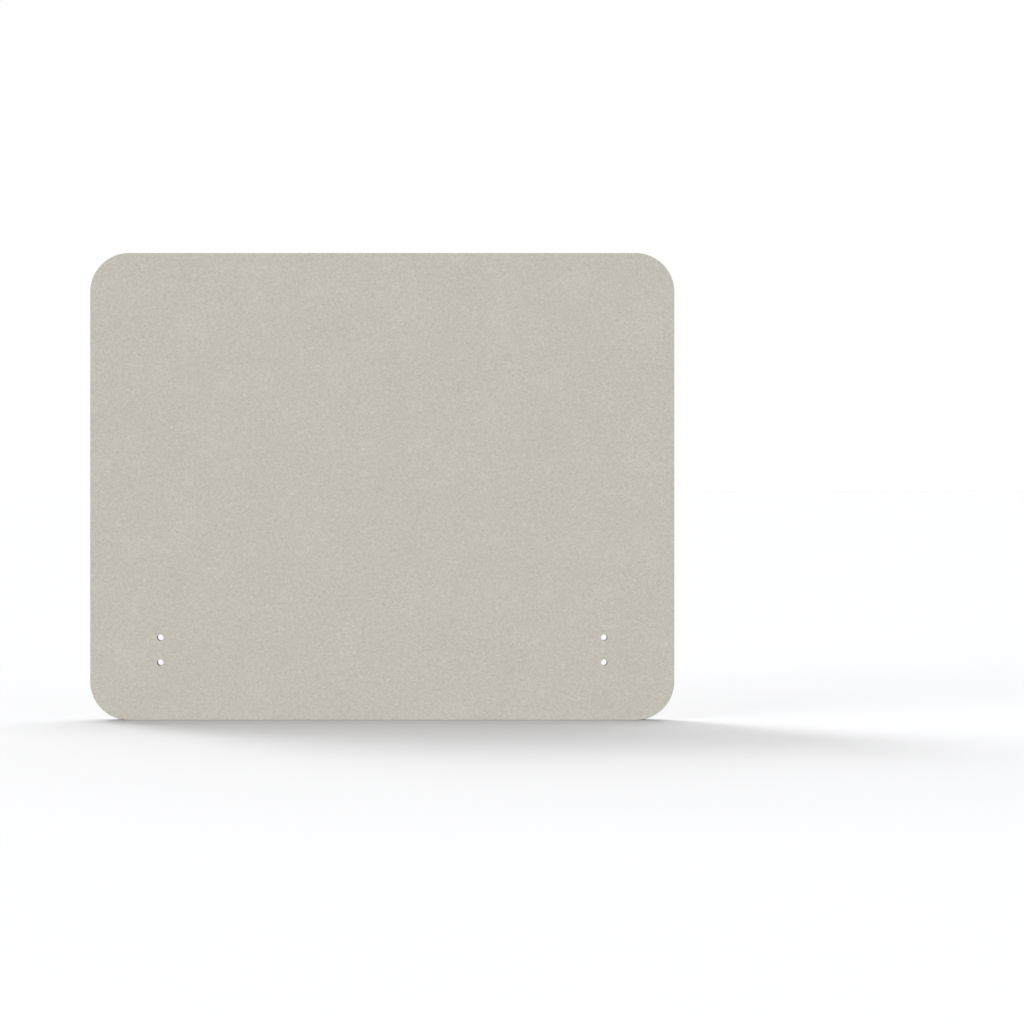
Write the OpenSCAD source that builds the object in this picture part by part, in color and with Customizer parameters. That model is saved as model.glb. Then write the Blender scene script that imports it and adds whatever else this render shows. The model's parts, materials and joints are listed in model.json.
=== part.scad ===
// Acoustic divider screen: a felt board with rounded corners that stands on its long bottom
// edge. Near each lower corner a pair of holes goes right through it, for the two bolts of a
// bracket. The board is a balanced laminate, a felt face on either side of a stiffening core,
// and a glue web holds each face to the core.
// +X runs along the width, the front face looks along -Y, and +Z is up. The origin is in the
// middle of the bottom edge, halfway through the thickness.

/* [Board] */
// Width of the screen, from side to side
screen_w = 750; // [500:10:1600]
// Height of the screen, from the bottom edge to the top edge
screen_h = 600; // [350:10:1200]
// Radius of the four corners, seen from the front
corner_r = 50; // [15:1:100]

/* [Layers] */
// Thickness of each felt face
face_t = 3; // [2:0.5:6]
// Thickness of the stiffening core
core_t = 5.6; // [3:0.2:20]
// Thickness of each glue web
web_t = 0.2; // [0.1:0.05:0.5]
// Radius to which the cut edge of a felt face softens
edge_soft_r = 0.8; // [0.2:0.1:1.6]

/* [Bracket holes] */
// Diameter of each bracket hole
hole_d = 8; // [5:0.5:14]
// Distance between the two holes of a pair, one above the other
hole_pitch = 32; // [20:1:80]
// Distance from the side of the screen to the middle of a pair
hole_inset = 90; // [55:1:200]
// Height of the middle of a pair above the bottom edge
hole_height = 90; // [60:1:250]

/* [Hidden] */

// How far a cutting tool runs past the faces that it opens
overrun = 1;
// Facets in a full circle
$fn = 96;

// Colours of the heathered felt, the pressed core and the glue web
felt_colour = [0.76, 0.75, 0.70];
core_colour = [0.69, 0.68, 0.64];
web_colour = [0.80, 0.79, 0.76];

// Middles of the corner arcs, anticlockwise from the lower right, and the straight edge that
// runs from each to the next
arc_x = screen_w / 2 - corner_r;
arc_z = [corner_r, screen_h - corner_r];
arc_middles = [[arc_x, arc_z[0]], [arc_x, arc_z[1]], [-arc_x, arc_z[1]], [-arc_x, arc_z[0]]];
straight_z = screen_h - 2 * corner_r;
straight_x = screen_w - 2 * corner_r;
straights = [straight_z, straight_x, straight_z, straight_x];

// The outline of every layer, seen from the front
module board_outline() {
    translate([-screen_w / 2, corner_r]) square([screen_w, straight_z]);
    translate([-arc_x, 0]) square([straight_x, screen_h]);
    for (middle = arc_middles) translate(middle) circle(r = corner_r);
}

// The tools that drill the four bracket holes through a layer that lies flat
module bracket_drills(layer_t) {
    for (side = [-1, 1], level = [-1, 1])
        translate([
            side * (screen_w / 2 - hole_inset),
            hole_height + level * hole_pitch / 2,
            -overrun
        ])
            cylinder(d = hole_d, h = layer_t + 2 * overrun);
}

// Section through the rim of a felt face, from an arc's middle out to the softened edge.
// X is the distance outwards and Y the height above the glued side.
module rim_section() {
    square([corner_r - edge_soft_r, face_t]);
    square([corner_r, face_t - edge_soft_r]);
    translate([corner_r - edge_soft_r, face_t - edge_soft_r]) circle(r = edge_soft_r);
}

// A felt face that lies on its glued side: a flat middle, with the rim section drawn along the
// four straight edges and swept round the four corners
module felt_face_flat() {
    difference() {
        union() {
            translate([-arc_x, arc_z[0], 0]) cube([straight_x, straight_z, face_t]);
            for (edge = [0:3]) {
                from = arc_middles[edge];
                to = arc_middles[(edge + 1) % 4];
                translate([from[0], from[1], 0]) rotate(90 * edge)
                    translate([0, straights[edge], 0]) rotate([90, 0, 0])
                        linear_extrude(height = straights[edge]) rim_section();
                translate([to[0], to[1], 0]) rotate(90 * edge)
                    rotate_extrude(angle = 90) rim_section();
            }
        }
        bracket_drills(face_t);
    }
}

// A flat layer with square-cut edges, as the core and the webs are
module plain_layer_flat(layer_t) {
    difference() {
        linear_extrude(height = layer_t) board_outline();
        bracket_drills(layer_t);
    }
}

// Stands a flat layer up with its lying side at the depth given, growing towards the front
module stand_up(depth) {
    translate([0, depth, 0]) rotate([90, 0, 0]) children();
}

module front_felt_face() {
    color(felt_colour) stand_up(-core_t / 2 - web_t) felt_face_flat();
}

module front_glue_web() {
    color(web_colour) stand_up(-core_t / 2) plain_layer_flat(web_t);
}

module core_board() {
    color(core_colour) stand_up(core_t / 2) plain_layer_flat(core_t);
}

module back_glue_web() {
    color(web_colour) stand_up(core_t / 2 + web_t) plain_layer_flat(web_t);
}

module back_felt_face() {
    color(felt_colour) mirror([0, 1, 0]) stand_up(-core_t / 2 - web_t) felt_face_flat();
}

front_felt_face();
front_glue_web();
core_board();
back_glue_web();
back_felt_face();
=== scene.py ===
"""Acoustic divider screen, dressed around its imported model.

A felt board of 750 x 600 x 12 mm stands upright on its long bottom edge, with rounded corners and
a pair of bracket holes near each lower corner. Both felt faces are modelled anew, with softened
rims, drilled holes and a needled surface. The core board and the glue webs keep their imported
shapes and get finishes that show on the cut edges. Lengths are in metres unless a name says mm.
"""

import json
import logging
import math
from collections.abc import Callable, Iterable, Sequence
from dataclasses import dataclass
from enum import Enum, IntEnum

import bmesh
import bpy
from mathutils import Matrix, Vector, noise


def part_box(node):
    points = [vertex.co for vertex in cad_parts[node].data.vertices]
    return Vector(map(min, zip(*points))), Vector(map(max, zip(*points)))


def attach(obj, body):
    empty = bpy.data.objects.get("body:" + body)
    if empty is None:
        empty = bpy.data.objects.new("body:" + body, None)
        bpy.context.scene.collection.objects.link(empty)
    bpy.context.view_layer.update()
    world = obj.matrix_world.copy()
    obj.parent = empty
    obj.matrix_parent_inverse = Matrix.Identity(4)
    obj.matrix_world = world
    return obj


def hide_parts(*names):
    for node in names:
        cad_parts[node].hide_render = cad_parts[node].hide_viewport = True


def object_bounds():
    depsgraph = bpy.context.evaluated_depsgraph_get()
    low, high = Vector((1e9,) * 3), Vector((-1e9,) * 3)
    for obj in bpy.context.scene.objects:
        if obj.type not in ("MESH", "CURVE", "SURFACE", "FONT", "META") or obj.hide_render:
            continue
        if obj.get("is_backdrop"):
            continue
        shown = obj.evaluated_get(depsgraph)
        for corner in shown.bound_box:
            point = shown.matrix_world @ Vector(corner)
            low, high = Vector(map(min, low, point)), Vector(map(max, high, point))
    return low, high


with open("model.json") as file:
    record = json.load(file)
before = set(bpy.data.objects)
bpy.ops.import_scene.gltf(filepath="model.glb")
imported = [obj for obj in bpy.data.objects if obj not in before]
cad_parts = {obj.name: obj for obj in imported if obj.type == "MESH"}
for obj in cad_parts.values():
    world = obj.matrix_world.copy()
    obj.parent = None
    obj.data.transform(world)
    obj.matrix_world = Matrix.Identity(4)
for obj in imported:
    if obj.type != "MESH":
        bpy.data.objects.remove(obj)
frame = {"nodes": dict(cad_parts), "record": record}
CAD_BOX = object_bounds()
LOG = logging.getLogger("divider_screen")

MM = 0.001
BODY = "root"
# How far off each lamp hangs, which makes no difference to its light
LAMP_DISTANCE = 3.0
# Share of its colour that the wall of a hole keeps where painted shade darkens it
BORE_SHADE_TONE = 0.72
# How far outside a hole's radius a point still belongs to its wall
BORE_REACH = 0.05 * MM
# Middle value of a noise, and of the tone between a finish's shade and its light
MIDDLE = 0.5

Colour = tuple[float, float, float]


class Side(Enum):
    """Which way a felt face looks along the Y axis."""

    FRONT = -1
    BACK = 1


class SocketKind(Enum):
    """Kinds of socket that a node group may have."""

    VALUE = "NodeSocketFloat"
    VECTOR = "NodeSocketVector"


class MixInput(IntEnum):
    """Numbers of the Mix node's inputs, because some of them share a name."""

    FACTOR = 0
    VALUE_A = 2
    VALUE_B = 3
    COLOUR_A = 6
    COLOUR_B = 7


class MixOutput(IntEnum):
    """Numbers of the Mix node's outputs, because they share a name."""

    VALUE = 0
    COLOUR = 2


@dataclass(frozen=True)
class Hole:
    """One bracket hole, seen from the front."""

    x: float
    z: float
    radius: float


@dataclass(frozen=True)
class Outline:
    """The rounded rectangle that every layer of the board is cut to, seen from the front."""

    left: float
    right: float
    bottom: float
    top: float
    corner_radius: float

    def inset(self, distance: float) -> "Outline":
        """Returns the outline that runs a distance inside this one."""
        return Outline(
            self.left + distance, self.right - distance, self.bottom + distance,
            self.top - distance, self.corner_radius - distance,
        )

    def spine(self, x: float, z: float) -> tuple[float, float]:
        """Finds the nearest point of the rectangle that joins the middles of the corner arcs.

        Args:
            x: place along the width.
            z: height.

        Returns:
            The nearest point, which is the place itself when that lies inside.
        """
        r = self.corner_radius
        near_x = min(max(x, self.left + r), self.right - r)
        near_z = min(max(z, self.bottom + r), self.top - r)
        return near_x, near_z

    def round_off(self, x: float, z: float) -> tuple[float, float]:
        """Moves a point of the square-cornered sheet to its place on the rounded one.

        Args:
            x: place along the width.
            z: height.

        Returns:
            The new place: each corner's square of cells is drawn in to a quarter disc.
        """
        near_x, near_z = self.spine(x, z)
        a = (x - near_x) / self.corner_radius
        b = (z - near_z) / self.corner_radius
        return (
            near_x + (x - near_x) * math.sqrt(1 - b * b / 2),
            near_z + (z - near_z) * math.sqrt(1 - a * a / 2),
        )

    def at_distance(self, x: float, z: float, outward: float) -> tuple[float, float]:
        """Moves a point near the rim straight out or in, to a distance from the outline.

        Args:
            x: place along the width.
            z: height.
            outward: how far outside the outline the point goes.

        Returns:
            The new place.
        """
        near_x, near_z = self.spine(x, z)
        reach = math.hypot(x - near_x, z - near_z)
        scale = (self.corner_radius + outward) / reach
        return near_x + (x - near_x) * scale, near_z + (z - near_z) * scale


@dataclass(frozen=True)
class RimStep:
    """One ring of a cut rim: how far out it lies, how deep, and how much of it is cut felt."""

    outward: float
    depth: float
    cut: float


def stations(keys: Sequence[float], pitch: float) -> list[float]:
    """Spaces places evenly between key places.

    Args:
        keys: places that have to be met, in rising order.
        pitch: about how far apart the places lie.

    Returns:
        All places in rising order, the keys among them.
    """
    places = [keys[0]]
    for start, end in zip(keys, keys[1:]):
        cells = max(1, round((end - start) / pitch))
        places += [start + (end - start) * step / cells for step in range(1, cells + 1)]
    return places


def quarter_turn(steps: int) -> list[float]:
    """Returns the angles, in radians, that end each of the even steps of a quarter turn."""
    return [math.pi / 2 * step / steps for step in range(1, steps + 1)]


def soft_arc(radius: float, steps: int) -> list[RimStep]:
    """Rings of a rounded arris, from the face round to the cut wall.

    Args:
        radius: radius of the arris.
        steps: number of rings.

    Returns:
        The rings, measured from where the face starts to turn.
    """
    return [
        RimStep(radius * math.sin(angle), radius * (1 - math.cos(angle)), math.sin(angle))
        for angle in quarter_turn(steps)
    ]


def as_share(wave: float) -> float:
    """Turns a noise between minus one and one into a share between nought and one."""
    return (1 + wave) / 2


def draw_on(
    bm: bmesh.types.BMesh, ring: Iterable[bmesh.types.BMEdge],
) -> tuple[list[bmesh.types.BMVert], list[bmesh.types.BMEdge]]:
    """Extrudes a loop of open edges, in place.

    Args:
        bm: mesh that holds the loop.
        ring: edges of the loop.

    Returns:
        The points and the open edges of the new loop.
    """
    made = bmesh.ops.extrude_edge_only(bm, edges=list(ring))["geom"]
    verts = [part for part in made if isinstance(part, bmesh.types.BMVert)]
    edges = [part for part in made if isinstance(part, bmesh.types.BMEdge) and part.is_boundary]
    return verts, edges


def sort_faces(bm: bmesh.types.BMesh) -> None:
    """Sorts faces by where they lie, because extruding adds them in another order on each run.

    Args:
        bm: mesh whose faces are sorted.
    """
    in_order = sorted(bm.faces, key=lambda face: tuple(face.calc_center_median()))
    ranks = {face: rank for rank, face in enumerate(in_order)}
    bm.faces.sort(key=ranks.get)


@dataclass
class FeltFace:
    """A felt face of the board, as one closed solid with softened rims and drilled holes.

    The scales of its needled relief and of its wandering cut edge count waves to a metre.
    """

    name: str
    side: Side
    outline: Outline
    holes: Sequence[Hole]
    outer_y: float
    glued_y: float
    cell: float = 3 * MM
    rim_radius: float = 0.8 * MM
    rim_rings: int = 6
    glue_line_radius: float = 0.25 * MM
    glue_line_rings: int = 3
    hole_rim_radius: float = 0.25 * MM
    hole_rim_rings: int = 3
    hole_cells: int = 5
    hole_surround_rings: int = 6
    relief: float = 0.06 * MM
    relief_scales: Sequence[float] = (45.0, 130.0)
    wander: float = 0.05 * MM
    wander_scale: float = 400.0

    @property
    def thickness(self) -> float:
        """Thickness of the felt."""
        return abs(self.glued_y - self.outer_y)

    def y_at(self, depth: float) -> float:
        """Returns the Y of a place that lies a depth below the outer surface."""
        return self.outer_y - self.side.value * depth

    def build(self) -> bpy.types.Object:
        """Models the felt face and adds it to the scene.

        Returns:
            The new object, at the origin, with its place in its mesh.
        """
        bm = bmesh.new()
        cut = bm.verts.layers.float.new("cut")
        sheet = self.outline.inset(self.rim_radius)
        self._lay_sheet(bm, sheet)
        hole_rings = [self._open_hole(bm, hole) for hole in self.holes]
        self._needle(bm)
        rim = [e for e in bm.edges if e.is_boundary and not self._at_a_hole(e)]
        ends = [self._turn_rim(bm, rim, cut, sheet)]
        ends += [self._turn_hole(bm, ring, cut, hole) for ring, hole in zip(hole_rings, self.holes)]
        glued = [edge for ring in ends for edge in ring]
        for edge in glued:
            edge.smooth = False
        bmesh.ops.triangle_fill(bm, use_beauty=True, use_dissolve=False, edges=glued)
        bmesh.ops.recalc_face_normals(bm, faces=bm.faces)
        sort_faces(bm)
        piece = finish_mesh(bm, self.name)
        face_count = len(piece.data.polygons)
        LOG.info("%s: %d faces, %.1f mm thick", self.name, face_count, self.thickness / MM)
        return piece

    def _lay_sheet(self, bm: bmesh.types.BMesh, sheet: Outline) -> None:
        """Lays the outer surface as even cells, with lines through the holes' middles.

        Args:
            bm: mesh to add the sheet to.
            sheet: outline that the flat part of the surface fills.
        """
        r = sheet.corner_radius
        hole_xs, hole_zs = {hole.x for hole in self.holes}, {hole.z for hole in self.holes}
        xs = sorted({sheet.left, sheet.left + r, *hole_xs, sheet.right - r, sheet.right})
        zs = sorted({sheet.bottom, sheet.bottom + r, *hole_zs, sheet.top - r, sheet.top})
        columns, rows = stations(xs, self.cell), stations(zs, self.cell)
        across, up = len(columns) - 1, len(rows) - 1
        grid = bmesh.ops.create_grid(bm, x_segments=across, y_segments=up, size=1.0)
        for vert in grid["verts"]:
            x = columns[round((vert.co.x + 1) / 2 * across)]
            z = rows[round((vert.co.y + 1) / 2 * up)]
            x, z = sheet.round_off(x, z)
            vert.co = (x, self.outer_y, z)

    def _open_hole(self, bm: bmesh.types.BMesh, hole: Hole) -> list[bmesh.types.BMEdge]:
        """Cuts a block of cells out and draws its border in to a round rim, ring by ring.

        Args:
            bm: mesh that holds the sheet.
            hole: the hole to open.

        Returns:
            The edges of the round rim.
        """
        reach = self.hole_cells * self.cell
        block = [f for f in bm.faces if self._within(f.calc_center_median(), hole, reach)]
        bmesh.ops.delete(bm, geom=block, context="FACES")
        near = reach + self.cell / 2
        ring = [e for e in bm.edges if e.is_boundary and self._within(e.verts[0].co, hole, near)]
        rim = hole.radius + self.hole_rim_radius
        for step in range(1, self.hole_surround_rings + 1):
            radius = reach * (rim / reach) ** (step / self.hole_surround_rings)
            verts, ring = draw_on(bm, ring)
            for vert in verts:
                vert.co.x, vert.co.z = self._on_circle(vert.co, hole, radius, step == 1)
        return ring

    @staticmethod
    def _on_circle(
        place: Vector, hole: Hole, radius: float, from_square: bool,
    ) -> tuple[float, float]:
        """Moves a point to a circle round a hole.

        Args:
            place: where the point is.
            hole: the hole.
            radius: radius of the circle.
            from_square: whether the point lies on the border of the block, whose even steps
                become even angles.

        Returns:
            The new place.
        """
        x, z = place.x - hole.x, place.z - hole.z
        if from_square:
            share = min(abs(x), abs(z)) / max(abs(x), abs(z))
            angle = math.pi / 4 * share
            if abs(z) > abs(x):
                angle = math.pi / 2 - angle
            x, z = math.copysign(math.cos(angle), x), math.copysign(math.sin(angle), z)
        scale = radius / math.hypot(x, z)
        return hole.x + x * scale, hole.z + z * scale

    @staticmethod
    def _within(place: Vector, hole: Hole, reach: float) -> bool:
        """Tells whether a place lies in the square round a hole."""
        return abs(place.x - hole.x) < reach and abs(place.z - hole.z) < reach

    def _at_a_hole(self, edge: bmesh.types.BMEdge) -> bool:
        """Tells whether an edge belongs to the rim of a hole."""
        return any(self._within(edge.verts[0].co, hole, 2 * hole.radius) for hole in self.holes)

    def _needle(self, bm: bmesh.types.BMesh) -> None:
        """Gives the outer surface the shallow unevenness of needled felt, sunk into the face."""
        for vert in bm.verts:
            waves = sum(noise.noise(vert.co * scale) for scale in self.relief_scales)
            vert.co.y = self.y_at(self.relief * as_share(waves / len(self.relief_scales)))

    def _extend(
        self,
        bm: bmesh.types.BMesh,
        ring: Iterable[bmesh.types.BMEdge],
        cut: bmesh.types.BMLayerItem,
        step: RimStep,
        move: Callable[[float, float, float], tuple[float, float]],
    ) -> list[bmesh.types.BMEdge]:
        """Draws a loop of edges on by one ring.

        Args:
            bm: mesh that holds the loop.
            ring: edges of the loop so far.
            cut: layer that says how much of the surface is cut felt.
            step: where the new ring goes.
            move: gives the new place from the old one and the distance outward.

        Returns:
            The edges of the new ring.
        """
        verts, edges = draw_on(bm, ring)
        for vert in verts:
            frayed = self.wander * step.cut * as_share(noise.noise(vert.co * self.wander_scale))
            vert.co.x, vert.co.z = move(vert.co.x, vert.co.z, step.outward - frayed)
            vert.co.y = self.y_at(step.depth)
            vert[cut] = step.cut
        return edges

    def _turn_rim(
        self,
        bm: bmesh.types.BMesh,
        rim: Iterable[bmesh.types.BMEdge],
        cut: bmesh.types.BMLayerItem,
        sheet: Outline,
    ) -> list[bmesh.types.BMEdge]:
        """Turns the outer rim over its soft arris, down the cut wall and in at the glue line.

        Args:
            bm: mesh that holds the sheet.
            rim: edges of the sheet's outer border.
            cut: layer that says how much of the surface is cut felt.
            sheet: outline of the flat part of the surface.

        Returns:
            The edges of the ring that lies on the glued side.
        """
        out, turn = self.rim_radius, self.glue_line_radius
        wall_end = self.thickness - turn
        steps = soft_arc(out, self.rim_rings)
        steps += [RimStep(out, depth, 1.0) for depth in ((out + wall_end) / 2, wall_end)]
        steps += [
            RimStep(out - turn * (1 - math.cos(angle)), wall_end + turn * math.sin(angle), 1.0)
            for angle in quarter_turn(self.glue_line_rings)
        ]
        for step in steps:
            rim = self._extend(bm, rim, cut, step, sheet.at_distance)
        return list(rim)

    def _turn_hole(
        self,
        bm: bmesh.types.BMesh,
        ring: Iterable[bmesh.types.BMEdge],
        cut: bmesh.types.BMLayerItem,
        hole: Hole,
    ) -> list[bmesh.types.BMEdge]:
        """Turns the rim of a hole over a small arris and down to the glued side.

        Args:
            bm: mesh that holds the sheet.
            ring: edges of the hole's rim.
            cut: layer that says how much of the surface is cut felt.
            hole: the hole.

        Returns:
            The edges of the ring that lies on the glued side.
        """
        arris = self.hole_rim_radius
        start = hole.radius + arris

        def towards_axis(x: float, z: float, inward: float) -> tuple[float, float]:
            """Moves a point of the rim towards the hole's axis."""
            scale = (start - inward) / math.hypot(x - hole.x, z - hole.z)
            return hole.x + (x - hole.x) * scale, hole.z + (z - hole.z) * scale

        steps = soft_arc(arris, self.hole_rim_rings)
        steps += [RimStep(arris, depth, 1.0) for depth in (self.thickness / 2, self.thickness)]
        for step in steps:
            ring = self._extend(bm, ring, cut, step, towards_axis)
        return list(ring)


def finish_mesh(bm: bmesh.types.BMesh, name: str) -> bpy.types.Object:
    """Turns a bmesh into a smooth-shaded object of the scene.

    Args:
        bm: the mesh, which is freed.
        name: name of the object and its mesh.

    Returns:
        The object, at the origin.
    """
    for face in bm.faces:
        face.smooth = True
    mesh = bpy.data.meshes.new(name)
    bm.to_mesh(mesh)
    bm.free()
    piece = bpy.data.objects.new(name, mesh)
    bpy.context.scene.collection.objects.link(piece)
    return piece


def mark_bores(piece: bpy.types.Object, holes: Sequence[Hole]) -> None:
    """Stores on a piece's mesh which points lie on the walls of the drilled holes, where shade is
    painted.

    Args:
        piece: the piece, whose mesh lies in the part's own frame.
        holes: the holes.
    """
    bore = piece.data.attributes.new("bore", "FLOAT", "POINT")
    for vert, mark in zip(piece.data.vertices, bore.data):
        x, _, z = vert.co
        reaches = (math.hypot(x - hole.x, z - hole.z) - hole.radius for hole in holes)
        mark.value = float(min(reaches) < BORE_REACH)


class Graph:
    """Adds nodes to one node tree and wires them up."""

    def __init__(self, tree: bpy.types.NodeTree) -> None:
        """Starts on a tree.

        Args:
            tree: the node tree to add to.
        """
        self.tree = tree

    def add(
        self, kind: str, options: dict[str, object], inputs: dict[str | int, object],
    ) -> bpy.types.Node:
        """Adds one node.

        Args:
            kind: type of the node, without the ShaderNode prefix that all but a group's ends have.
            options: settings of the node itself.
            inputs: a value or an output socket for each input, by its name or number.

        Returns:
            The node.
        """
        node = self.tree.nodes.new(kind if kind.startswith("NodeGroup") else "ShaderNode" + kind)
        for name, value in options.items():
            setattr(node, name, value)
        self.feed(node, inputs)
        return node

    def feed(self, node: bpy.types.Node, inputs: dict[str | int, object]) -> None:
        """Gives a node its inputs.

        Args:
            node: the node.
            inputs: a value or an output socket for each input, by its name or number.
        """
        for key, value in inputs.items():
            if isinstance(value, bpy.types.NodeSocket):
                self.tree.links.new(value, node.inputs[key])
            else:
                node.inputs[key].default_value = value

    def place(self) -> bpy.types.NodeSocket:
        """Returns the place on the piece, in metres."""
        return self.add("TexCoord", {}, {}).outputs["Object"]

    def attribute(self, name: str) -> bpy.types.NodeSocket:
        """Returns a value that is stored on the piece's mesh."""
        return self.add("Attribute", {"attribute_name": name}, {}).outputs["Fac"]

    def paint_bore_shade(self, colour: bpy.types.NodeSocket) -> bpy.types.NodeSocket:
        """Paints shade on the walls of the drilled holes by darkening a colour there.

        Args:
            colour: the colour outside the holes.

        Returns:
            The socket that holds the colour.
        """
        # Painted shade: the hole walls are darkened to stand in for the shade inside the holes
        level = self.math("MULTIPLY_ADD", self.attribute("bore"), BORE_SHADE_TONE - 1, 1.0)
        return self.vector_math("MULTIPLY", colour, self.all_ways(level))

    def group(self, tree: bpy.types.NodeTree, inputs: dict[str, object]) -> bpy.types.NodeOutputs:
        """Adds one of the shared groups.

        Args:
            tree: the group.
            inputs: a value or an output socket for each of its inputs.

        Returns:
            The outputs of the group's node.
        """
        return self.add("Group", {"node_tree": tree}, inputs).outputs

    def weigh(self, *terms: tuple[object, float]) -> bpy.types.NodeSocket:
        """Adds up values, each by its own weight.

        Args:
            terms: pairs of a value and its weight.

        Returns:
            The socket that holds the sum.
        """
        total = 0.0
        for value, weight in terms:
            total = self.math("MULTIPLY_ADD", value, weight, total)
        return total

    def highest(self, terms: Sequence[object]) -> bpy.types.NodeSocket:
        """Takes the highest of some values.

        Args:
            terms: sockets or numbers, two or more.

        Returns:
            The socket that holds the highest.
        """
        top = terms[0]
        for term in terms[1:]:
            top = self.math("MAXIMUM", top, term)
        return top

    def math(self, operation: str, *terms: object) -> bpy.types.NodeSocket:
        """Works out one value from up to three.

        Args:
            operation: the Math node's operation.
            terms: sockets or numbers, in the node's order.

        Returns:
            The socket that holds the result.
        """
        return self.add("Math", {"operation": operation}, dict(enumerate(terms))).outputs["Value"]

    def vector_math(self, operation: str, a: object, b: object) -> bpy.types.NodeSocket:
        """Works out one vector from two.

        Args:
            operation: the Vector Math node's operation.
            a: first vector.
            b: second vector.

        Returns:
            The socket that holds the result.
        """
        return self.add("VectorMath", {"operation": operation}, {0: a, 1: b}).outputs["Vector"]

    def all_ways(self, value: object) -> bpy.types.NodeSocket:
        """Returns a vector whose three parts are the same value."""
        return self.add("CombineXYZ", {}, {"X": value, "Y": value, "Z": value}).outputs["Vector"]

    def noise(
        self, place: object, scale: object, detail: float = 0.0, roughness: float = 0.5,
    ) -> bpy.types.Node:
        """Adds a noise texture.

        Args:
            place: where it is read.
            scale: how many features there are to a metre.
            detail: number of finer octaves.
            roughness: strength of the finer octaves.

        Returns:
            The noise node.
        """
        inputs = {"Vector": place, "Scale": scale, "Detail": detail, "Roughness": roughness}
        return self.add("TexNoise", {}, inputs)

    def ramp(self, value: object, low: object, high: object) -> bpy.types.NodeSocket:
        """Spreads a value smoothly between nought and one.

        Args:
            value: the value.
            low: where nought is reached.
            high: where one is reached.

        Returns:
            The socket that holds the result.
        """
        inputs = {"Value": value, "From Min": low, "From Max": high}
        return self.add("MapRange", {"interpolation_type": "SMOOTHSTEP"}, inputs).outputs["Result"]

    def blend(self, factor: object, a: object, b: object) -> bpy.types.NodeSocket:
        """Mixes two colours.

        Args:
            factor: share of the second colour.
            a: first colour.
            b: second colour.

        Returns:
            The socket that holds the mixed colour.
        """
        inputs = {MixInput.FACTOR: factor, MixInput.COLOUR_A: paint(a), MixInput.COLOUR_B: paint(b)}
        return self.add("Mix", {"data_type": "RGBA"}, inputs).outputs[MixOutput.COLOUR]

    def bump(self, height: object, distance: float, strength: float) -> bpy.types.NodeSocket:
        """Turns a height into a bumped normal.

        Args:
            height: the height, from nought to one.
            distance: how far the surface stands out at one.
            strength: share of the effect.

        Returns:
            The socket that holds the normal.
        """
        inputs = {"Height": height, "Distance": distance, "Strength": strength}
        return self.add("Bump", {}, inputs).outputs["Normal"]


def paint(colour: object) -> object:
    """Gives a plain colour its alpha, and leaves a socket as it is."""
    return (*colour, 1.0) if isinstance(colour, tuple) else colour


class GroupBuilder:
    """Makes a shader node group once, for every material that uses it."""

    def __init__(self, name: str, inputs: dict[str, SocketKind], outputs: Sequence[str]) -> None:
        """Makes an empty group.

        Args:
            name: name of the group.
            inputs: name and kind of each input.
            outputs: name of each value that the group puts out.
        """
        self.tree = bpy.data.node_groups.new(name, "ShaderNodeTree")
        sockets = self.tree.interface
        for socket, kind in inputs.items():
            sockets.new_socket(name=socket, in_out="INPUT", socket_type=kind.value)
        for socket in outputs:
            sockets.new_socket(name=socket, in_out="OUTPUT", socket_type=SocketKind.VALUE.value)
        self.graph = Graph(self.tree)
        self.inputs = self.graph.add("NodeGroupInput", {}, {}).outputs

    def close(self, **results: bpy.types.NodeSocket) -> bpy.types.NodeTree:
        """Wires each result to the output of its name.

        Args:
            results: the results, by the names of the outputs.

        Returns:
            The group.
        """
        self.graph.add("NodeGroupOutput", {}, results)
        return self.tree


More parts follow.
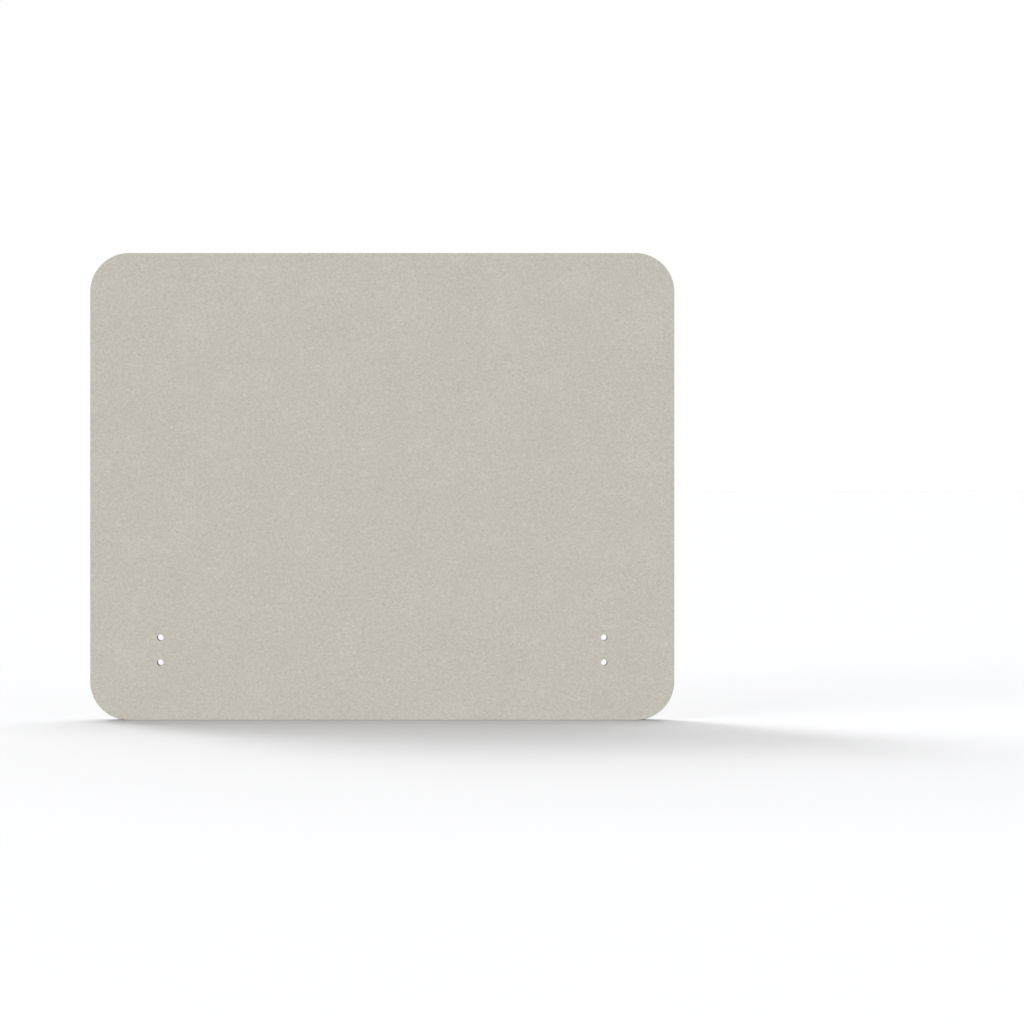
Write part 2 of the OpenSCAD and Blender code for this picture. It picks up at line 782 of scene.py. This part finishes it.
@dataclass(frozen=True)
class FibreLay:
    """Directions in which fibres lie, criss-cross in the plane of the board, and how they curl.

    Each direction reads the noise a layer gap further on, so that no two look alike.
    """

    lighter_deg: Sequence[float] = (8.0, 71.0, 127.0)
    darker_deg: Sequence[float] = (37.0, 99.0, 158.0)
    bends: float = 1.1
    bend_share: float = 0.2
    depth: float = 0.8 * MM
    layer_gap: float = 17.3 * MM

    def lay(
        self,
        g: Graph,
        given: bpy.types.NodeOutputs,
        across: object,
        draw: Callable[[bpy.types.NodeSocket], bpy.types.NodeSocket],
    ) -> dict[str, bpy.types.NodeSocket]:
        """Lays lighter and darker fibres over each other.

        Args:
            g: the group's graph.
            given: the group's own inputs, with the place and the length of a fibre.
            across: how far it is from one fibre to the next.
            draw: turns a noise that is drawn out along the fibres into a mask.

        Returns:
            Tone, above nought on a lighter fibre and below it on a darker one, and Height, which is
            one on top of a fibre of either kind.
        """
        length = given["Fibre Length"]
        curled = self._curl(g, given["Place"], length)
        per_length, per_gap = g.math("DIVIDE", 1.0, length), g.math("DIVIDE", 1.0, across)
        parts = {"X": per_length, "Y": 1.0 / self.depth, "Z": per_gap}
        stretch = g.add("CombineXYZ", {}, parts).outputs["Vector"]
        masks = []
        for number, angle in enumerate((*self.lighter_deg, *self.darker_deg)):
            turned = g.add("Mapping", {}, {
                "Vector": curled,
                "Location": (0.0, number * self.layer_gap, 0.0),
                "Rotation": (0.0, math.radians(angle), 0.0),
            }).outputs["Vector"]
            drawn_out = g.noise(g.vector_math("MULTIPLY", turned, stretch), 1.0)
            masks.append(draw(drawn_out.outputs["Fac"]))
        lighter = g.highest(masks[:len(self.lighter_deg)])
        darker = g.highest(masks[len(self.lighter_deg):])
        return {"Tone": g.math("SUBTRACT", lighter, darker), "Height": g.highest((lighter, darker))}

    def _curl(self, g: Graph, place: object, length: object) -> bpy.types.NodeSocket:
        """Bends the places a little, so that straight fibres come out curled.

        Args:
            g: the group's graph.
            place: the place on the piece.
            length: length of a fibre.

        Returns:
            The socket that holds the bent place.
        """
        bends = g.noise(place, g.math("DIVIDE", self.bends, length)).outputs["Color"]
        centred = g.vector_math("SUBTRACT", bends, (MIDDLE, MIDDLE, MIDDLE))
        spread = g.all_ways(g.math("MULTIPLY", length, self.bend_share))
        return g.vector_math("ADD", place, g.vector_math("MULTIPLY", centred, spread))


@dataclass(frozen=True)
class Tufts:
    """Short tufts, in which a few fibres of one shade lie side by side."""

    lay: FibreLay = FibreLay()
    threshold_low: float = 0.57
    threshold_high: float = 0.78

    def group(self) -> bpy.types.NodeTree:
        """Builds the node group."""
        sizes = dict.fromkeys(("Fibre Length", "Tuft Width"), SocketKind.VALUE)
        inputs = {"Place": SocketKind.VECTOR, **sizes}
        builder = GroupBuilder("tufts", inputs, ("Tone", "Height"))
        g, given = builder.graph, builder.inputs

        def draw(drawn: bpy.types.NodeSocket) -> bpy.types.NodeSocket:
            """Keeps the high parts of the noise."""
            return g.ramp(drawn, self.threshold_low, self.threshold_high)

        return builder.close(**self.lay.lay(g, given, given["Tuft Width"], draw))


@dataclass(frozen=True)
class LooseFibres:
    """Single long fibres, thin and curly, that cross each other all over the surface."""

    lay: FibreLay = FibreLay(
        lighter_deg=(22.0, 84.0, 141.0), darker_deg=(51.0, 112.0, 173.0),
        bends=1.2, bend_share=0.28,
    )
    slope: float = 0.35

    def group(self) -> bpy.types.NodeTree:
        """Builds the node group."""
        sizes = dict.fromkeys(("Fibre Length", "Fibre Gap", "Fibre Width"), SocketKind.VALUE)
        inputs = {"Place": SocketKind.VECTOR, **sizes}
        builder = GroupBuilder("loose_fibres", inputs, ("Tone", "Height"))
        g, given = builder.graph, builder.inputs
        share = g.math("DIVIDE", given["Fibre Width"], given["Fibre Gap"])
        edge = g.math("MULTIPLY", share, self.slope)

        def draw(drawn: bpy.types.NodeSocket) -> bpy.types.NodeSocket:
            """Keeps the thin line along which the noise passes its middle value."""
            return g.ramp(g.math("ABSOLUTE", g.math("SUBTRACT", drawn, MIDDLE)), edge, 0.0)

        return builder.close(**self.lay.lay(g, given, given["Fibre Gap"], draw))


@dataclass(frozen=True)
class Mottle:
    """Small blotches where lighter and darker fibres gather, as a value about nought."""

    detail: float = 2.0
    roughness: float = 0.6

    def group(self) -> bpy.types.NodeTree:
        """Builds the node group."""
        inputs = {"Place": SocketKind.VECTOR, "Blotch Size": SocketKind.VALUE}
        builder = GroupBuilder("mottle", inputs, ("Tone",))
        g, given = builder.graph, builder.inputs
        scale = g.math("DIVIDE", 1.0, given["Blotch Size"])
        blotches = g.noise(given["Place"], scale, self.detail, self.roughness).outputs["Fac"]
        return builder.close(Tone=g.math("SUBTRACT", blotches, MIDDLE))


@dataclass(frozen=True)
class CutLayers:
    """Thin streaks of pressed fibre that run along a cut edge, as a value about nought."""

    streak_length: float = 1.8 * MM
    streak_thickness: float = 0.45 * MM
    detail: float = 2.0
    roughness: float = 0.65

    def group(self) -> bpy.types.NodeTree:
        """Builds the node group."""
        builder = GroupBuilder("cut_layers", {"Place": SocketKind.VECTOR}, ("Tone",))
        g, given = builder.graph, builder.inputs
        along, through = 1 / self.streak_length, 1 / self.streak_thickness
        drawn = g.vector_math("MULTIPLY", given["Place"], (along, through, along))
        streaks = g.noise(drawn, 1.0, self.detail, self.roughness).outputs["Fac"]
        return builder.close(Tone=g.math("SUBTRACT", streaks, MIDDLE))


@dataclass(frozen=True)
class SharedEffects:
    """The node groups that the finishes share."""

    tufts: bpy.types.NodeTree
    fibres: bpy.types.NodeTree
    mottle: bpy.types.NodeTree
    layers: bpy.types.NodeTree

    @staticmethod
    def build() -> "SharedEffects":
        """Builds every shared group once."""
        return SharedEffects(
            Tufts().group(), LooseFibres().group(), Mottle().group(), CutLayers().group()
        )


def start_material(name: str) -> tuple[bpy.types.Material, Graph, bpy.types.Node]:
    """Starts a material with a Principled shader on its output.

    Args:
        name: name of the material.

    Returns:
        The material, a graph to add nodes with, and the Principled node.
    """
    material = bpy.data.materials.new(name)
    material.use_nodes = True
    material.node_tree.nodes.clear()
    graph = Graph(material.node_tree)
    shader = graph.add("BsdfPrincipled", {}, {})
    graph.add("OutputMaterial", {}, {"Surface": shader.outputs["BSDF"]})
    return material, graph, shader


def shown_directly(g: Graph) -> bpy.types.NodeSocket:
    """Tells the camera's own view, mirrored and refracted views too, from light that is passed on.

    Args:
        g: the graph of the floor or of the surroundings.

    Returns:
        A socket that is one where the view is direct, and otherwise nought.
    """
    rays = g.add("LightPath", {}, {}).outputs
    seen = g.math("MAXIMUM", rays["Is Camera Ray"], rays["Is Glossy Ray"])
    return g.math("MAXIMUM", seen, rays["Is Transmission Ray"])


@dataclass(frozen=True)
class HeatheredFelt:
    """Needled felt in warm light grey, with a fine heather and softly cut edges."""

    shade: Colour = (0.463, 0.440, 0.386)
    light: Colour = (0.628, 0.599, 0.525)
    cut_shade: Colour = (0.400, 0.381, 0.335)
    cut_light: Colour = (0.567, 0.541, 0.479)
    tuft_length: float = 6 * MM
    tuft_width: float = 1.2 * MM
    tuft_tone: float = 0.32
    fibre_length: float = 7 * MM
    fibre_gap: float = 1.5 * MM
    fibre_width: float = 0.16 * MM
    fibre_tone: float = 0.485
    blotch: float = 3.2 * MM
    blotch_tone: float = 0.67
    gathering: float = 2.4
    patch: float = 9 * MM
    patch_tone: float = 0.1
    cloud: float = 60 * MM
    cloud_tone: float = 0.4
    streak_tone: float = 1.2
    tuft_height: float = 0.3
    fibre_height: float = 0.5
    streak_height: float = 1.5
    bump_distance: float = 0.15 * MM
    bump_strength: float = 0.35
    roughness: float = 0.95
    specular: float = 0.2
    sheen: float = 0.08
    sheen_roughness: float = 0.6

    def material(self, effects: SharedEffects) -> bpy.types.Material:
        """Builds the material.

        Args:
            effects: the shared node groups.

        Returns:
            The material.
        """
        material, g, shader = start_material("heathered_felt")
        place = g.place()
        tufts = g.group(effects.tufts, {
            "Place": place, "Fibre Length": self.tuft_length, "Tuft Width": self.tuft_width,
        })
        fibres = g.group(effects.fibres, {
            "Place": place, "Fibre Length": self.fibre_length, "Fibre Gap": self.fibre_gap,
            "Fibre Width": self.fibre_width,
        })
        blotches = g.group(effects.mottle, {"Place": place, "Blotch Size": self.blotch})["Tone"]
        patches = g.group(effects.mottle, {"Place": place, "Blotch Size": self.patch})["Tone"]
        clouds = g.group(effects.mottle, {"Place": place, "Blotch Size": self.cloud})["Tone"]
        fine = g.weigh((tufts["Tone"], self.tuft_tone), (blotches, self.blotch_tone))
        gathered = g.math("MULTIPLY", fine, g.math("MULTIPLY_ADD", patches, self.gathering, 1.0))
        face_tone = g.math("ADD", MIDDLE, g.weigh(
            (gathered, 1.0), (fibres["Tone"], self.fibre_tone),
            (patches, self.patch_tone), (clouds, self.cloud_tone),
        ))
        streaks = g.group(effects.layers, {"Place": place})["Tone"]
        cut_tone = g.math("ADD", MIDDLE, g.weigh(
            (streaks, self.streak_tone), (blotches, self.blotch_tone),
            (fibres["Tone"], self.fibre_tone),
        ))
        face_colour = g.blend(face_tone, self.shade, self.light)
        # The hole walls of the felt get painted shade
        cut_colour = g.paint_bore_shade(g.blend(cut_tone, self.cut_shade, self.cut_light))
        cut = g.attribute("cut")
        height = g.weigh(
            (tufts["Height"], self.tuft_height), (fibres["Height"], self.fibre_height),
            (blotches, 1.0), (g.math("MULTIPLY", cut, streaks), self.streak_height),
        )
        g.feed(shader, {
            "Base Color": g.blend(cut, face_colour, cut_colour),
            "Normal": g.bump(height, self.bump_distance, self.bump_strength),
            "Roughness": self.roughness, "Specular IOR Level": self.specular,
            "Sheen Weight": self.sheen, "Sheen Roughness": self.sheen_roughness,
        })
        return material


@dataclass(frozen=True)
class PressedCore:
    """Hot-pressed fibre board, which shows only on its knife-cut edge."""

    shade: Colour = (0.345, 0.329, 0.286)
    light: Colour = (0.525, 0.500, 0.437)
    streak_tone: float = 0.9
    speckle: float = 0.8 * MM
    speckle_tone: float = 1.3
    fibre_length: float = 3 * MM
    fibre_gap: float = 1.1 * MM
    fibre_width: float = 0.16 * MM
    fibre_tone: float = 0.55
    bump_distance: float = 0.07 * MM
    bump_strength: float = 0.5
    roughness: float = 0.9
    specular: float = 0.2

    def material(self, effects: SharedEffects) -> bpy.types.Material:
        """Builds the material.

        Args:
            effects: the shared node groups.

        Returns:
            The material.
        """
        material, g, shader = start_material("pressed_core")
        place = g.place()
        streaks = g.group(effects.layers, {"Place": place})["Tone"]
        speckles = g.group(effects.mottle, {"Place": place, "Blotch Size": self.speckle})["Tone"]
        fibres = g.group(effects.fibres, {
            "Place": place, "Fibre Length": self.fibre_length, "Fibre Gap": self.fibre_gap,
            "Fibre Width": self.fibre_width,
        })["Tone"]
        tone = g.math("ADD", MIDDLE, g.weigh(
            (streaks, self.streak_tone), (speckles, self.speckle_tone), (fibres, self.fibre_tone),
        ))
        g.feed(shader, {
            # The hole walls of the core get painted shade
            "Base Color": g.paint_bore_shade(g.blend(tone, self.shade, self.light)),
            "Normal": g.bump(tone, self.bump_distance, self.bump_strength),
            "Roughness": self.roughness, "Specular IOR Level": self.specular,
        })
        return material


@dataclass(frozen=True)
class MeltedWeb:
    """Melted adhesive web, a faint satin line between felt and core."""

    shade: Colour = (0.54, 0.53, 0.48)
    light: Colour = (0.68, 0.66, 0.60)
    beads: float = 1.2 * MM
    bead_tone: float = 2.0
    bump_distance: float = 0.05 * MM
    bump_strength: float = 0.4
    roughness: float = 0.45

    def material(self, effects: SharedEffects) -> bpy.types.Material:
        """Builds the material.

        Args:
            effects: the shared node groups.

        Returns:
            The material.
        """
        material, g, shader = start_material("glue_web")
        beads = g.group(effects.mottle, {"Place": g.place(), "Blotch Size": self.beads})["Tone"]
        tone = g.math("ADD", MIDDLE, g.weigh((beads, self.bead_tone)))
        g.feed(shader, {
            # The hole walls of the glue web get painted shade
            "Base Color": g.paint_bore_shade(g.blend(tone, self.shade, self.light)),
            "Normal": g.bump(tone, self.bump_distance, self.bump_strength),
            "Roughness": self.roughness,
        })
        return material


@dataclass
class DividerScreen:
    """The whole board: two felt faces, the core board and two glue webs."""

    corner_radius: float = 50 * MM
    felt: HeatheredFelt = HeatheredFelt()
    core: PressedCore = PressedCore()
    web: MeltedWeb = MeltedWeb()

    def holes(self) -> list[Hole]:
        """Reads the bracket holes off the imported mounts.

        Returns:
            The four holes.
        """
        found = []
        for mount in frame["record"]["mounts"]:
            if mount["kind"] != "bolt_pattern":
                continue
            x, _, z = mount["pos_m"]
            half_pitch = mount["dims"]["spacing_y_mm"] * MM / 2
            radius = mount["dims"]["hole_r_mm"] * MM
            found += [Hole(x, z - half_pitch, radius), Hole(x, z + half_pitch, radius)]
        return found

    def outline(self) -> Outline:
        """Reads the board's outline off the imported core."""
        low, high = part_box("core_board")
        return Outline(low[0], high[0], low[2], high[2], self.corner_radius)

    def build(self, effects: SharedEffects) -> None:
        """Models and dresses every piece of the board.

        Args:
            effects: the shared node groups.
        """
        holes = self.holes()
        felt = self.felt.material(effects)
        for side in Side:
            self._build_felt_face(side, holes, felt)
        self._dress("core_board", holes, self.core.material(effects))
        web = self.web.material(effects)
        for node in ("front_glue_web", "back_glue_web"):
            self._dress(node, holes, web)

    def _build_felt_face(self, side: Side, holes: Sequence[Hole], felt: bpy.types.Material) -> None:
        """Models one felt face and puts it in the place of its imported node.

        Args:
            side: which face.
            holes: the bracket holes.
            felt: the felt's material.
        """
        word = side.name.lower()
        node = f"{word}_felt_face"
        low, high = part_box(node)
        outer_y, glued_y = (low[1], high[1]) if side is Side.FRONT else (high[1], low[1])
        piece = FeltFace(f"{word}_felt", side, self.outline(), holes, outer_y, glued_y).build()
        mark_bores(piece, holes)
        piece.data.materials.append(felt)
        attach(piece, BODY)
        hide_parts(node)

    @staticmethod
    def _dress(node: str, holes: Sequence[Hole], material: bpy.types.Material) -> None:
        """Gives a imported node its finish.

        Args:
            node: name of the node.
            holes: the bracket holes.
            material: the finish.
        """
        piece = frame["nodes"][node]
        mark_bores(piece, holes)
        for slot in piece.material_slots:
            slot.material = material
        LOG.info("%s: finished as %s", node, material.name)


@dataclass(frozen=True)
class Lamp:
    """A distant soft lamp of the studio.

    Its azimuth is the direction it shines from: 0 is in front of the board, 90 is on its left and
    180 is behind it. Its level is the brightness that it gives a white sheet square to it.
    """

    name: str
    azimuth_deg: float
    elevation_deg: float
    spread_deg: float
    level: float

    def towards(self) -> Vector:
        """Returns the direction from the board to the lamp."""
        azimuth, elevation = math.radians(self.azimuth_deg), math.radians(self.elevation_deg)
        return Vector((
            -math.sin(azimuth) * math.cos(elevation),
            -math.cos(azimuth) * math.cos(elevation),
            math.sin(elevation),
        ))

    def hang(self) -> None:
        """Adds the lamp to the scene."""
        light = bpy.data.lights.new(self.name, "SUN")
        light.energy = self.level * math.pi
        light.angle = math.radians(self.spread_deg)
        hung = bpy.data.objects.new(self.name, light)
        hung.rotation_euler = self.towards().to_track_quat("Z", "Y").to_euler()
        hung.location = self.towards() * LAMP_DISTANCE
        bpy.context.scene.collection.objects.link(hung)


STUDIO_LAMPS = (
    Lamp("front_fill", 0.0, 8.0, 16.0, 0.634),
    Lamp("left_fill", 60.0, 20.0, 40.0, 0.328),
    Lamp("right_fill", -50.0, 30.0, 40.0, 0.100),
    Lamp("right_side", -90.0, 15.0, 40.0, 0.200),
    Lamp("key", 134.0, 52.7, 20.0, 0.299),
    Lamp("low_back_left", 128.0, 29.7, 40.0, 0.301),
    Lamp("high_back_right", -120.0, 70.0, 20.0, 0.199),
    Lamp("back_top", 180.0, 50.0, 60.0, 0.396),
    Lamp("overhead", 180.0, 86.0, 5.0, 0.092),
)


@dataclass(frozen=True)
class Studio:
    """Pale floor, even white surroundings, soft lamps and the camera.

    The floor shows the camera its own pale colour and the shadows on it, and throws less light back
    up, so that the board is lit evenly down to its bottom edge.
    """

    lamps: Sequence[Lamp] = STUDIO_LAMPS
    floor_size: float = 60.0
    floor_colour: Colour = (0.655, 0.657, 0.666)
    floor_bounce: Colour = (0.03, 0.03, 0.03)
    surround: float = 0.25
    surround_colour: Colour = (1.0, 1.0, 1.0)
    camera_distance: float = 2.9
    camera_side: float = 15.4 * MM
    camera_height: float = 321.4 * MM
    focal_mm: float = 79.42
    sensor_mm: float = 36.0
    shift_right: float = 0.115
    shift_up: float = -0.04117

    def build(self) -> None:
        """Sets up the floor, the surroundings, the lamps and the camera."""
        self._lay_floor()
        self._surround()
        for lamp in self.lamps:
            lamp.hang()
        self._set_camera()

    def _lay_floor(self) -> None:
        """Lays a plain pale floor under the board."""
        bm = bmesh.new()
        bmesh.ops.create_grid(bm, x_segments=1, y_segments=1, size=self.floor_size / 2)
        floor = finish_mesh(bm, "floor")
        material, g, shader = start_material("pale_floor")
        colour = g.blend(shown_directly(g), self.floor_bounce, self.floor_colour)
        g.feed(shader, {"Base Color": colour, "Roughness": 1.0, "Specular IOR Level": 0.0})
        floor.data.materials.append(material)
        floor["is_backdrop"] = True

    def _surround(self) -> None:
        """Lights the scene evenly from all round, and shows the camera plain white."""
        world = bpy.data.worlds.new("surroundings")
        world.use_nodes = True
        world.node_tree.nodes.clear()
        g = Graph(world.node_tree)
        strengths = {MixInput.VALUE_A: self.surround, MixInput.VALUE_B: 1.0}
        mixed = {MixInput.FACTOR: shown_directly(g), **strengths}
        strength = g.add("Mix", {"data_type": "FLOAT"}, mixed).outputs[MixOutput.VALUE]
        inputs = {"Color": paint(self.surround_colour), "Strength": strength}
        background = g.add("Background", {}, inputs).outputs["Background"]
        g.add("OutputWorld", {}, {"Surface": background})
        bpy.context.scene.world = world

    def _set_camera(self) -> None:
        """Sets the camera level with the board and square to it, as in the photograph."""
        lens = bpy.data.cameras.new("camera")
        lens.lens, lens.sensor_width = self.focal_mm, self.sensor_mm
        lens.shift_x, lens.shift_y = self.shift_right, self.shift_up
        camera = bpy.data.objects.new("camera", lens)
        front = CAD_BOX[0][1]
        camera.location = (self.camera_side, front - self.camera_distance, self.camera_height)
        camera.rotation_euler = (math.pi / 2, 0.0, 0.0)
        bpy.context.scene.collection.objects.link(camera)
        bpy.context.scene.camera = camera


def main() -> None:
    logging.basicConfig(level=logging.INFO, format="%(message)s")
    Studio().build()
    DividerScreen().build(SharedEffects.build())
    bpy.context.scene.view_settings.view_transform = "Standard"
    boxes = {"cad": CAD_BOX, "visual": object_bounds()}
    plain = {name: [[float(c) for c in corner] for corner in box] for name, box in boxes.items()}


if __name__ == "__main__":
    main()
